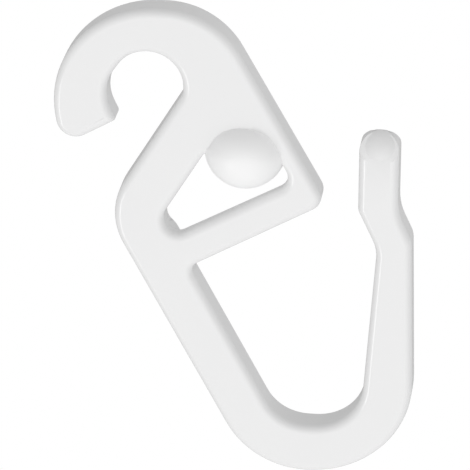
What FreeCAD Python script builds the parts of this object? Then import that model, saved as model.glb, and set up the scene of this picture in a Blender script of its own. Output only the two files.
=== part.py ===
import FreeCAD, Part
import math
import os

# Curtain hook, moulded in one piece.
# Millimetres. +Z is up as the hook hangs, X runs across it and the front face looks along -Y.
# The origin is the middle of the eye that clips round the rail or glider, halfway through the
# thickness. Angles are degrees from +X, turning towards +Z.

# Body
thickness = 2.4              # front face to back face
edge_round = 0.55             # rounding of every edge of both faces

# Head: the open eye and the curved back over it
eye_radius = 2.31             # round part of the eye, from the arm over to the upper left
eye_round_end = 145.0        # where the round part ends and the looser left wall begins
eye_left = 3.04              # middle of the eye to its left wall, square to it
eye_left_round = 2.85
eye_wall_angle = 294.8       # left wall of the eye, running down to the lip
head_top = 5.29              # highest line of the back
head_round = 5.75             # back of the head, over to the slope
head_left = 6.55             # middle of the eye to the left side of the head, square to it
head_left_angle = 102.0      # left side of the head, running up
head_left_round = 7.35
lip_reach = 1.22              # middle of the eye to the cut end of the lip
lip_angle = 209.9            # cut end of the lip, running down and left
lip_inner_round = 0.2
lip_outer_round = 1.3

# Slope down the right side, and the bar that ties it back to the leg
slope_angle = 299.3
slope_distance = 6.41        # middle of the eye to the slope, square to it
shoulder_round = 1.0
bar_angle = 210.0            # lower edge of the bar, running down and left
bar_distance = 12.55         # middle of the eye to the bar's lower edge, square to it
bar_top_angle = 209.2        # upper edge of the bar
bar_top_distance = 10.21
bar_depth = 0.9              # the bar is flush with the front face and thinner than the body
relief_round = 0.05          # corners of the room behind the bar
web_wall = 1.27              # wall between the slope and the window

# Arm from the eye down to the bend, and the leg from the bend to the foot
arm_angle = 58.8             # outer edge of the arm, running up to the eye
arm_distance = 2.22          # middle of the eye to the arm's outer edge, square to it
arm_width = 3.33
arm_eye_round = 1.2
bend_round = 4.6
leg_angle = 297.7            # both edges of the leg, running down
leg_distance = 3.72          # middle of the eye to the leg's inner edge, square to it
leg_width = 3.22
crook_round = 0.65            # inner corner between bar and leg

# Window under the ball
window_bend_round = 1.3
window_low_round = 0.95
window_right_round = 0.95
window_roof_round = 0.3
window_top = -4.68            # roof of the window, behind the ball

# Foot
foot_inner = -24.4           # lowest line of the inside
foot_depth = 3.5
foot_inner_left_round = 3.1
foot_inner_right_round = 3.4
foot_outer_left_round = 6.3
foot_outer_right_round = 7.3

# Pin: it rises from the foot, tapers, steps to the left and ends round
pin_foot_left = 14.38         # left side, at the foot
pin_foot_width = 3.24
pin_foot_height = -20.68
pin_neck_left = 15.02        # left side, under the step
pin_neck_width = 2.34
pin_neck_height = -11.38
pin_left = 13.77             # left side, over the step
pin_width = 2.6
pin_top = -2.63
pin_tip_round = 1.25
step_angle = 115.0           # both sides of the step, running up
step_height = -8.08          # where the sides of the step meet the pin
step_low_left_round = 2.6
step_low_right_round = 1.5
step_top_left_round = 0.9
step_top_right_round = 4.0

# Ball that stands out of both faces over the window
ball_radius = 2.7
ball_x = 6.29
ball_z = -4.4

# Nose of the pin: a bevel on each face, so that it slips into the pocket
nose_start = -4.31
nose_slope = 32.0            # bevel from the pin's face
nose_round = 0.35            # ridge between the bevels


def unit(angle):
    return FreeCAD.Vector(math.cos(math.radians(angle)), 0, math.sin(math.radians(angle)))


def line_at(angle, distance):
    """A line running along the angle, with the origin at the distance on its right."""
    return unit(angle + 90) * distance, unit(angle)


def line_through(x, z, angle):
    return FreeCAD.Vector(x, 0, z), unit(angle)


def line_between(start_x, start_z, end_x, end_z):
    start = FreeCAD.Vector(start_x, 0, start_z)
    end = FreeCAD.Vector(end_x, 0, end_z)
    return start, (end - start).normalize()


def crossing(first, second):
    point, along = first
    other, across = second
    gap = other - point
    turn = along.x * across.z - along.z * across.x
    reach = (gap.x * across.z - gap.z * across.x) / turn
    return point + along * reach


def rounded_loop(sides):
    """Closed wire of straight sides, each given with the rounding of the corner it starts at."""
    count = len(sides)
    corners = [crossing(sides[i - 1][0], sides[i][0]) for i in range(count)]
    backs = []
    aheads = []
    reaches = []
    for i in range(count):
        backs.append((corners[i - 1] - corners[i]).normalize())
        aheads.append((corners[(i + 1) % count] - corners[i]).normalize())
        reaches.append(sides[i][1] / math.tan(backs[i].getAngle(aheads[i]) / 2))
    # Where two roundings need more than the side between them, both give way.
    for i in range(count):
        after = (i + 1) % count
        share = (corners[after] - corners[i]).Length / (reaches[i] + reaches[after])
        if share < 1:
            reaches[i] *= share
            reaches[after] *= share
    edges = []
    for i in range(count):
        half = backs[i].getAngle(aheads[i]) / 2
        radius = reaches[i] * math.tan(half)
        start = corners[i] + backs[i] * reaches[i]
        finish = corners[i] + aheads[i] * reaches[i]
        bisector = (backs[i] + aheads[i]).normalize()
        middle = corners[i] + bisector * (reaches[i] / math.cos(half) - radius)
        before = corners[i - 1] + aheads[i - 1] * reaches[i - 1]
        if (start - before).Length > 1e-4:
            edges.append(Part.LineSegment(before, start).toShape())
        edges.append(Part.Arc(start, middle, finish).toShape())
    return Part.Wire(Part.__sortEdges__(edges))


def outline():
    """The hook's outline, clockwise as seen from the front, from the back of the head."""
    pin_foot_right = pin_foot_left + pin_foot_width
    pin_neck_right = pin_neck_left + pin_neck_width
    pin_right = pin_left + pin_width
    return rounded_loop([
        (line_through(0, head_top, 0), head_left_round),
        (line_at(slope_angle, slope_distance), head_round),
        (line_at(bar_angle, bar_distance), shoulder_round),
        (line_at(leg_angle, -leg_distance), crook_round),
        (line_through(0, foot_inner, 0), foot_inner_left_round),
        (line_between(pin_foot_left, pin_foot_height, pin_neck_left, pin_neck_height),
         foot_inner_right_round),
        (line_through(pin_left, step_height, step_angle), step_low_left_round),
        (line_through(pin_left, step_height, 90), step_top_left_round),
        (line_through(pin_left, pin_top, 0), pin_tip_round),
        (line_through(pin_right, pin_top, 270), pin_tip_round),
        (line_through(pin_right, step_height, step_angle + 180), step_top_right_round),
        (line_between(pin_neck_right, pin_neck_height, pin_foot_right, pin_foot_height),
         step_low_right_round),
        (line_through(0, foot_inner - foot_depth, 180), foot_outer_right_round),
        (line_at(leg_angle + 180, leg_distance + leg_width), foot_outer_left_round),
        (line_at(arm_angle, -arm_distance), bend_round),
        (line_at(90, -eye_radius), arm_eye_round),
        (line_at(180, -eye_radius), eye_radius),
        (line_at(eye_round_end + 90, -eye_radius), eye_radius),
        (line_at(eye_wall_angle, -eye_left), eye_left_round),
        (line_at(lip_angle, lip_reach), lip_inner_round),
        (line_at(head_left_angle, head_left), lip_outer_round),
    ])


def window():
    """The opening between arm, slope and bar, clockwise from its roof."""
    return rounded_loop([
        (line_through(0, window_top, 0), window_roof_round),
        (line_at(slope_angle, slope_distance - web_wall), window_roof_round),
        (line_at(bar_top_angle, bar_top_distance), window_right_round),
        (line_at(leg_angle + 180, leg_distance), window_low_round),
        (line_at(arm_angle, -arm_distance - arm_width), window_bend_round),
    ])


def bar_relief():
    """The room behind the bar, from the window out past the bar's lower edge."""
    return rounded_loop([
        (line_at(bar_top_angle, bar_top_distance - window_low_round * 1.1), relief_round),
        (line_at(slope_angle, slope_distance - web_wall), relief_round),
        (line_at(bar_angle, bar_distance + 1), relief_round),
        (line_at(leg_angle + 180, leg_distance), relief_round),
    ])


def slab(wire, depth):
    """The wire's shape given a depth, half to the front and half to the back."""
    face = Part.Face(wire)
    face.translate(FreeCAD.Vector(0, -depth / 2, 0))
    return face.extrude(FreeCAD.Vector(0, depth, 0))


def flat_face_edges(solid):
    """Edges that lie in the front or the back face."""
    edges = []
    for edge in solid.Edges:
        box = edge.BoundBox
        if box.YLength < 1e-4 and abs(abs(box.YMin) - thickness / 2) < 1e-4:
            edges.append(edge)
    return edges


def rounded_body():
    body = slab(outline(), thickness).cut(slab(window(), thickness))
    body = body.makeFillet(edge_round, flat_face_edges(body))
    relief = slab(bar_relief(), thickness)
    relief.translate(FreeCAD.Vector(0, bar_depth, 0))
    return body.cut(relief)


def nose_wedge():
    """The pin's end lies inside this wedge, which is drawn from the side and turned into place."""
    profile = rounded_loop([
        (line_through(-thickness / 2, nose_start, 90 - nose_slope), 1),
        (line_through(thickness / 2, nose_start, 270 + nose_slope), nose_round),
        (line_through(0, foot_inner, 180), 1),
    ])
    wedge = slab(profile, pin_width * 2)
    wedge.rotate(FreeCAD.Vector(0, 0, 0), FreeCAD.Vector(0, 0, 1), 90)
    wedge.translate(FreeCAD.Vector(pin_left + pin_width / 2, 0, 0))
    return wedge


def pin_end():
    """Block round all of the pin over the start of its nose."""
    block = Part.makeBox(pin_width * 1.5, thickness * 2, pin_top + 1 - nose_start)
    block.translate(FreeCAD.Vector(pin_left - pin_width / 4, -thickness, nose_start))
    return block


def web_ball():
    return Part.makeSphere(ball_radius, FreeCAD.Vector(ball_x, 0, ball_z))


def curtain_hook():
    body = rounded_body().cut(pin_end().cut(nose_wedge()))
    hook = body.fuse(web_ball()).removeSplitter()
    return hook.Solids[0]


os.makedirs("parts", exist_ok=True)
hook = curtain_hook()
hook.exportStep("parts/curtain_hook.step")
box = hook.optimalBoundingBox(False)
print("curtain_hook", hook.isValid(), round(hook.Volume, 3), "mm3")
print("size", round(box.XLength, 2), round(box.YLength, 2), round(box.ZLength, 2))
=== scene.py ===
import math

import bmesh
import bpy
from mathutils import Matrix, Vector


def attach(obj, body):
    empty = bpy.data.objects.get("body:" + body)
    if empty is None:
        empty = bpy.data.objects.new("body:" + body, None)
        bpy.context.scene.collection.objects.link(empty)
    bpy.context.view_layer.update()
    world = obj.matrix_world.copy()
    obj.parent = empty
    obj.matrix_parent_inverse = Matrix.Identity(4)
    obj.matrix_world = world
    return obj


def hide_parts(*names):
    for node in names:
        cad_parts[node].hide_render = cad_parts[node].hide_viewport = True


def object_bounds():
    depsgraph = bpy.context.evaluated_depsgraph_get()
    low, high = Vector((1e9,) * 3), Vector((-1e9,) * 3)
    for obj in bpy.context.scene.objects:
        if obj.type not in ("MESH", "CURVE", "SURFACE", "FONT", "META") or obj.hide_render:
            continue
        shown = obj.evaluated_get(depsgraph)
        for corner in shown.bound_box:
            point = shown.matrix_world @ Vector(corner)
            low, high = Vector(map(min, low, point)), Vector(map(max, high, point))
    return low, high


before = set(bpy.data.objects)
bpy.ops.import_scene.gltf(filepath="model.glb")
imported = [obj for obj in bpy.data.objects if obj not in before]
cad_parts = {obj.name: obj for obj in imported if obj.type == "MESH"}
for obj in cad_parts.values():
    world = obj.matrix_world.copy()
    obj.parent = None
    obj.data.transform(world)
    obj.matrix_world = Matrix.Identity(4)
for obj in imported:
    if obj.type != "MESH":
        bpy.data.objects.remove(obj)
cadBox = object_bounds()


# small helpers

colourMix = {"inputs": (0, 6, 7), "output": 2}      # a Mix node's sockets when it mixes colours


def feed(tree, sockets, values):
    # a value is fixed, or it is another node's output
    for socket, value in zip(sockets, values):
        if isinstance(value, bpy.types.NodeSocket):
            tree.links.new(value, socket)
        else:
            socket.default_value = value


def feedByName(tree, node, values):
    feed(tree, [node.inputs[name] for name in values], values.values())


def addNode(tree, kind, spot, values=None):
    node = tree.nodes.new(kind)
    node.location = spot
    if values:
        feedByName(tree, node, values)
    return node


def addMath(tree, operation, spot, *values):
    node = addNode(tree, "ShaderNodeMath", spot)
    node.operation = operation
    feed(tree, node.inputs, values)
    return node.outputs[0]


def addDot(tree, spot, *values):
    node = addNode(tree, "ShaderNodeVectorMath", spot)
    node.operation = "DOT_PRODUCT"
    feed(tree, node.inputs, values)
    return node.outputs["Value"]


def mixColours(tree, spot, *values):
    # the share of the second colour, the first colour, the second colour
    node = addNode(tree, "ShaderNodeMix", spot)
    node.data_type = "RGBA"
    feed(tree, [node.inputs[number] for number in colourMix["inputs"]], values)
    return node.outputs[colourMix["output"]]


def newMaterial(name):
    material = bpy.data.materials.new(name)
    material.use_nodes = True
    return material, material.node_tree.nodes["Principled BSDF"]


def addObject(name, data):
    item = bpy.data.objects.new(name, data)
    bpy.context.scene.collection.objects.link(item)
    return item


def makeMesh(name, shape):
    mesh = bpy.data.meshes.new(name)
    shape.to_mesh(mesh)
    shape.free()
    return mesh


def ofKind(items, kind):
    return [item for item in items if isinstance(item, kind)]


# white moulded plastic

plastic = {
    "colour": (0.835, 0.835, 0.835, 1.0),
    "colourStreak": (0.82, 0.82, 0.822, 1.0),
    "colourBallPaintedBrighter": (0.905, 0.905, 0.905, 1.0),      # painted brightness: a whiter copy of the plastic's colour on the ball, standing in for the extra light its thick plastic scatters back
    "streakScale": 160.0,
    "streakDetail": 3.0,
    "roughness": (0.18, 0.24),
    "softer": 0.25,            # how much rougher the ball is
    "rippleScale": 900.0,
    "rippleDetail": 2.0,
    "rippleHeight": 0.00001,
    "rippleStrength": 0.25,
    "bending": 1.48,           # how strongly the plastic bends light
    "glow": 0.05,              # light that it lets through
    "glowRadius": (1.0, 1.0, 1.0),
    "glowDepth": 0.0012,
}


def makePlastic():
    material, shader = newMaterial("whitePlastic")
    tree = material.node_tree
    place = addNode(tree, "ShaderNodeTexCoord", (-1100, 0)).outputs["Object"]
    streaks = addNode(tree, "ShaderNodeTexNoise", (-850, 150), {
        "Vector": place,
        "Scale": plastic["streakScale"],
        "Detail": plastic["streakDetail"],
    }).outputs["Fac"]
    ripples = addNode(tree, "ShaderNodeTexNoise", (-850, -250), {
        "Vector": place,
        "Scale": plastic["rippleScale"],
        "Detail": plastic["rippleDetail"],
    }).outputs["Fac"]
    thick = addNode(tree, "ShaderNodeAttribute", (-550, 450))
    thick.attribute_name = "thick"
    onBall = thick.outputs["Fac"]

    tint = mixColours(tree, (-550, 200), streaks, plastic["colour"], plastic["colourStreak"])
    # painted brightness: the ball's faces get the whiter copy of the plastic's colour
    shade = mixColours(tree, (-300, 300), onBall, tint, plastic["colourBallPaintedBrighter"])
    least, most = plastic["roughness"]
    rough = addNode(tree, "ShaderNodeMapRange", (-550, -50), {
        "Value": ripples,
        "To Min": least,
        "To Max": most,
    }).outputs["Result"]
    softer = addMath(tree, "MULTIPLY_ADD", (-300, 0), onBall, plastic["softer"], rough)
    bump = addNode(tree, "ShaderNodeBump", (-300, -300), {
        "Height": ripples,
        "Strength": plastic["rippleStrength"],
        "Distance": plastic["rippleHeight"],
    }).outputs["Normal"]

    feedByName(tree, shader, {
        "Base Color": shade,
        "Roughness": softer,
        "Normal": bump,
        "IOR": plastic["bending"],
        "Subsurface Weight": plastic["glow"],
        "Subsurface Radius": plastic["glowRadius"],
        "Subsurface Scale": plastic["glowDepth"],
    })
    print("plastic ready")
    return material


# the hook

hookMesh = {
    "weld": 0.000001,
    "halfThickness": 0.0012,   # from the middle to either flat face
    "creaseAngle": 32.0,       # degrees: an edge that turns more than this stays crisp
    "flatWeight": 100,         # how strongly the large faces lead the shading at their edges
}

ball = {
    "middle": (0.00629, 0.0, -0.0044),
    "radius": 0.0027,
    "fit": 0.00002,            # how near to the ball's surface the corners of its faces lie
    "outward": 0.9,            # how squarely its faces look outwards
    "flatter": 0.235,          # share by which its upper half is lowered
    "narrower": 0.06,          # share by which that half is narrowed from side to side
    "blend": 0.0008,           # height over the middle at which it is narrowed in full
}
ballMiddle = Vector(ball["middle"])

softCrease = {                 # at the upper right the ball runs softly into the flat face
    "from": 10.0,              # degrees round the ball's middle, seen from the front
    "to": 75.0,
    "rings": 2,                # laid round the crease in the flat face
    "step": 0.0003,            # from one ring to the next
    "slopeWay": 29.3,          # degrees: the way from the ball's middle square to the slope
    "slopeReach": 0.00252,     # how far it is that way to the slope's rounded edge
    "leastCosine": 0.1,        # between a point's way outwards and the way to the slope
}


def turnRoundBall(place):
    return math.degrees(math.atan2(place.z - ballMiddle.z, place.x - ballMiddle.x))


def runsSoft(edge):
    return all(softCrease["from"] < turnRoundBall(vert.co) < softCrease["to"] for vert in edge.verts)


def onFlat(verts, side):
    return all(abs(vert.co.y - side * hookMesh["halfThickness"]) < hookMesh["weld"] for vert in verts)


def openRim(shell, side):
    return [edge for edge in shell.edges if edge.is_boundary and onFlat(edge.verts, side)]


def openFlats(shell):
    flats = [face for face in shell.faces if onFlat(face.verts, -1) or onFlat(face.verts, 1)]
    bmesh.ops.delete(shell, geom=flats, context="FACES")


def settle(place):
    # the ball's upper half is lower and narrower than a full ball's
    height = max(0, place.z - ballMiddle.z)
    share = min(1, height / ball["blend"])
    fade = share * share * (3 - 2 * share)
    place.x -= fade * ball["narrower"] * (place.x - ballMiddle.x)
    place.z -= ball["flatter"] * height


def shapeBall(shell):
    thick = shell.faces.layers.float.new("thick")
    onBall = set()
    for face in shell.faces:
        outward = face.calc_center_median() - ballMiddle
        near = all(abs((vert.co - ballMiddle).length - ball["radius"]) < ball["fit"] for vert in face.verts)
        if near and face.normal.dot(outward) > ball["outward"] * outward.length:
            onBall.add(face)
            face[thick] = 1.0
    for vert in {vert for face in onBall for vert in face.verts}:
        if all(face in onBall for face in vert.link_faces):      # where it meets the window it stays
            settle(vert.co)
    print("ball", len(onBall), "faces")


def layRings(shell, side):
    # rings in the open flat face along the soft part of the ball's crease
    thick = shell.faces.layers.float["thick"]
    rim = [edge for edge in openRim(shell, side) if edge.link_faces[0][thick] == 1.0 and runsSoft(edge)]
    slope = math.radians(softCrease["slopeWay"])
    slopeWay = Vector((math.cos(slope), 0, math.sin(slope)))
    laid = []
    for ring in range(softCrease["rings"]):
        made = bmesh.ops.extrude_edge_only(shell, edges=rim)["geom"]
        verts = ofKind(made, bmesh.types.BMVert)
        rim = [edge for edge in ofKind(made, bmesh.types.BMEdge) if all(vert in verts for vert in edge.verts)]
        stepsLeft = softCrease["rings"] + 1 - ring
        for vert in verts:
            arm = Vector((vert.co.x - ballMiddle.x, 0, vert.co.z - ballMiddle.z))
            outward = arm.normalized()
            reach = softCrease["slopeReach"] / max(softCrease["leastCosine"], outward.dot(slopeWay))
            vert.co += outward * min(softCrease["step"], (reach - arm.length) / stepsLeft)
        laid += ofKind(made, bmesh.types.BMFace)
    bmesh.ops.recalc_face_normals(shell, faces=laid)
    for face in laid:
        face[thick] = 0.0
    print("rings", side, len(laid), "faces")


def closeFlats(shell):
    for side in (-1, 1):
        rim = openRim(shell, side)
        made = bmesh.ops.triangle_fill(shell, use_beauty=True, edges=rim, normal=(0, side, 0))
        sheet = ofKind(made["geom"], bmesh.types.BMFace)
        for face in sheet:
            face.normal_update()
        turned = [face for face in sheet if face.normal.y * side < 0]
        bmesh.ops.reverse_faces(shell, faces=turned)
        print("flat face", side, len(sheet), "faces", len(turned), "turned")
    print("open edges", len([edge for edge in shell.edges if not edge.is_manifold]))


def shadeHook(shell):
    crease = math.radians(hookMesh["creaseAngle"])
    thick = shell.faces.layers.float["thick"]
    for face in shell.faces:
        face.smooth = True
        face.material_index = 0
    for edge in shell.edges:
        ballCrease = sorted(face[thick] for face in edge.link_faces) == [0.0, 1.0]
        edge.smooth = edge.calc_face_angle(0.0) < crease or (ballCrease and runsSoft(edge))


def makeHook(material):
    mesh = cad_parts["curtain_hook"].data.copy()
    mesh.materials.clear()
    mesh.materials.append(material)
    hook = addObject("hookBody", mesh)

    shell = bmesh.new()
    shell.from_mesh(mesh)
    bmesh.ops.remove_doubles(shell, verts=shell.verts, dist=hookMesh["weld"])
    shell.normal_update()
    openFlats(shell)
    shapeBall(shell)
    layRings(shell, -1)
    layRings(shell, 1)
    closeFlats(shell)
    shell.normal_update()
    shadeHook(shell)
    shell.to_mesh(mesh)
    shell.free()

    flats = hook.modifiers.new("flatFaces", "WEIGHTED_NORMAL")   # flat faces stay flat between round edges
    flats.keep_sharp = True
    flats.weight = hookMesh["flatWeight"]

    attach(hook, "root")
    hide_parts("curtain_hook")
    print("hook", len(mesh.polygons), "faces")


noseCap = {                    # the low dome on each bevel of the pin's end
    "middle": (0.0151, 0.000685, -0.003486),        # on the back bevel, and mirrored in front
    "slope": 32.0,             # degrees from the pin's face to the bevel
    "reach": 0.00095,          # from the middle to where the dome meets the bevel
    "radius": 0.0021,
    "root": 0.0001,            # how far it goes on under the bevel, so that both domes meet over the ridge
    "segments": 96,
    "rings": 96,
}


def makeNoseCap(name, material, side):
    # side is -1 in front and 1 behind
    cap = bmesh.new()
    radius = noseCap["radius"]
    depth = math.sqrt(radius ** 2 - noseCap["reach"] ** 2)
    bmesh.ops.create_uvsphere(cap, u_segments=noseCap["segments"], v_segments=noseCap["rings"], radius=radius)
    whole = cap.verts[:] + cap.edges[:] + cap.faces[:]
    base = (0, 0, depth - noseCap["root"])
    cut = bmesh.ops.bisect_plane(cap, geom=whole, plane_co=base, plane_no=(0, 0, 1), clear_inner=True)
    bmesh.ops.holes_fill(cap, edges=ofKind(cut["geom_cut"], bmesh.types.BMEdge), sides=0)
    bmesh.ops.translate(cap, verts=cap.verts, vec=(0, 0, -depth))
    turn = Matrix.Rotation(math.radians(90 - noseCap["slope"]) * -side, 3, "X")
    bmesh.ops.rotate(cap, verts=cap.verts, cent=(0, 0, 0), matrix=turn)
    x, y, z = noseCap["middle"]
    bmesh.ops.translate(cap, verts=cap.verts, vec=(x, y * side, z))
    for face in cap.faces:
        face.smooth = len(face.verts) <= 4       # all but the base
    mesh = makeMesh("noseCap", cap)
    mesh.materials.append(material)
    piece = addObject(name, mesh)
    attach(piece, "root")
    print(name, len(mesh.polygons), "faces")


whitePlastic = makePlastic()
makeHook(whitePlastic)
makeNoseCap("noseCapFront", whitePlastic, -1)
makeNoseCap("noseCapBack", whitePlastic, 1)


# floor, light and camera

studio = {
    "floorDrop": 0.12,         # the hook hangs this far over the floor
    "floorSize": 6.0,
    "floorBase": (0.0, 0.0, 0.0, 1.0),
    "floorColour": (1.0, 1.0, 1.0, 1.0),
    "floorGlow": 1.0,
    "around": 0.79,            # even light of the white room
    "lean": (0.08, 0.0, -0.05),                     # a little more of it comes from the right and from below
    "boxes": {                 # big soft boxes: the way to each, its light and how narrow it is
        "front": ((0.14, -0.95, -0.22), 1.27, 5),
        "dark": ((-0.12, 0.89, -0.43), -0.3, 8),    # a dark sheet behind, which darkens the outlines
    },
}


def makeFloor():
    sheet = bmesh.new()
    bmesh.ops.create_grid(sheet, x_segments=1, y_segments=1, size=studio["floorSize"] / 2)
    bmesh.ops.translate(sheet, verts=sheet.verts, vec=(0, 0, cadBox[0].z - studio["floorDrop"]))
    floor = addObject("floor", makeMesh("floor", sheet))
    material, shader = newMaterial("paleFloor")
    feedByName(material.node_tree, shader, {
        "Base Color": studio["floorBase"],
        "Specular IOR Level": 0,
        "Emission Color": studio["floorColour"],
        "Emission Strength": studio["floorGlow"],
    })
    floor.data.materials.append(material)
    floor.visible_diffuse = False        # the soft boxes light the hook from below too
    floor.visible_glossy = False
    floor.visible_transmission = False
    floor.visible_shadow = False


def makeSky():
    world = bpy.data.worlds.new("studio")
    bpy.context.scene.world = world
    world.use_nodes = True
    tree = world.node_tree
    tree.nodes.clear()
    way = addNode(tree, "ShaderNodeTexCoord", (-1400, 0)).outputs["Generated"]
    lean = addDot(tree, (-1200, 200), way, studio["lean"])
    total = addMath(tree, "ADD", (-1000, 200), lean, studio["around"])
    for row, (boxWay, light, narrow) in enumerate(studio["boxes"].values()):
        facing = addDot(tree, (-1200, -200 * row), way, Vector(boxWay).normalized())
        ahead = addMath(tree, "MAXIMUM", (-1000, -200 * row), facing, 0)
        soft = addMath(tree, "POWER", (-800, -200 * row), ahead, narrow)
        total = addMath(tree, "MULTIPLY_ADD", (-600 + 200 * row, 0), soft, light, total)
    background = addNode(tree, "ShaderNodeBackground", (-200, 0), {"Strength": total})
    addNode(tree, "ShaderNodeOutputWorld", (0, 0), {"Surface": background.outputs["Background"]})


lamps = {
    "leftStrip": {
        "place": (-0.244, -0.318, -0.21),
        "aim": (0.006, 0.0, -0.011),
        "size": (0.04, 0.16),
        "power": 0.26,
    },
}


def makeLamps():
    for name, lamp in lamps.items():
        light = bpy.data.lights.new(name, "AREA")
        light.shape = "RECTANGLE"
        light.size, light.size_y = lamp["size"]
        light.energy = lamp["power"]
        holder = addObject(name, light)
        holder.location = lamp["place"]
        beam = Vector(lamp["aim"]) - holder.location
        holder.rotation_euler = beam.to_track_quat("-Z", "Y").to_euler()


camera = {
    "azimuth": 8.05,
    "elevation": 26.3,
    "distance": 0.2019,
    "aim": (0.006091, -0.003638, -0.009015),
    "lens": 239.04,
    "sensor": 36.0,
    "clip": (0.01, 20.0),
}


def makeCamera():
    turn, rise = math.radians(camera["azimuth"]), math.radians(camera["elevation"])
    back = Vector((math.sin(turn) * math.cos(rise), -math.cos(turn) * math.cos(rise), math.sin(rise)))
    data = bpy.data.cameras.new("camera")
    data.sensor_width = camera["sensor"]
    data.lens = camera["lens"]
    data.clip_start, data.clip_end = camera["clip"]
    holder = addObject("camera", data)
    holder.location = Vector(camera["aim"]) + back * camera["distance"]
    holder.rotation_euler = back.to_track_quat("Z", "Y").to_euler()
    bpy.context.scene.camera = holder


makeFloor()
makeSky()
makeLamps()
makeCamera()
bpy.context.scene.view_settings.view_transform = "Standard"
print("studio ready")
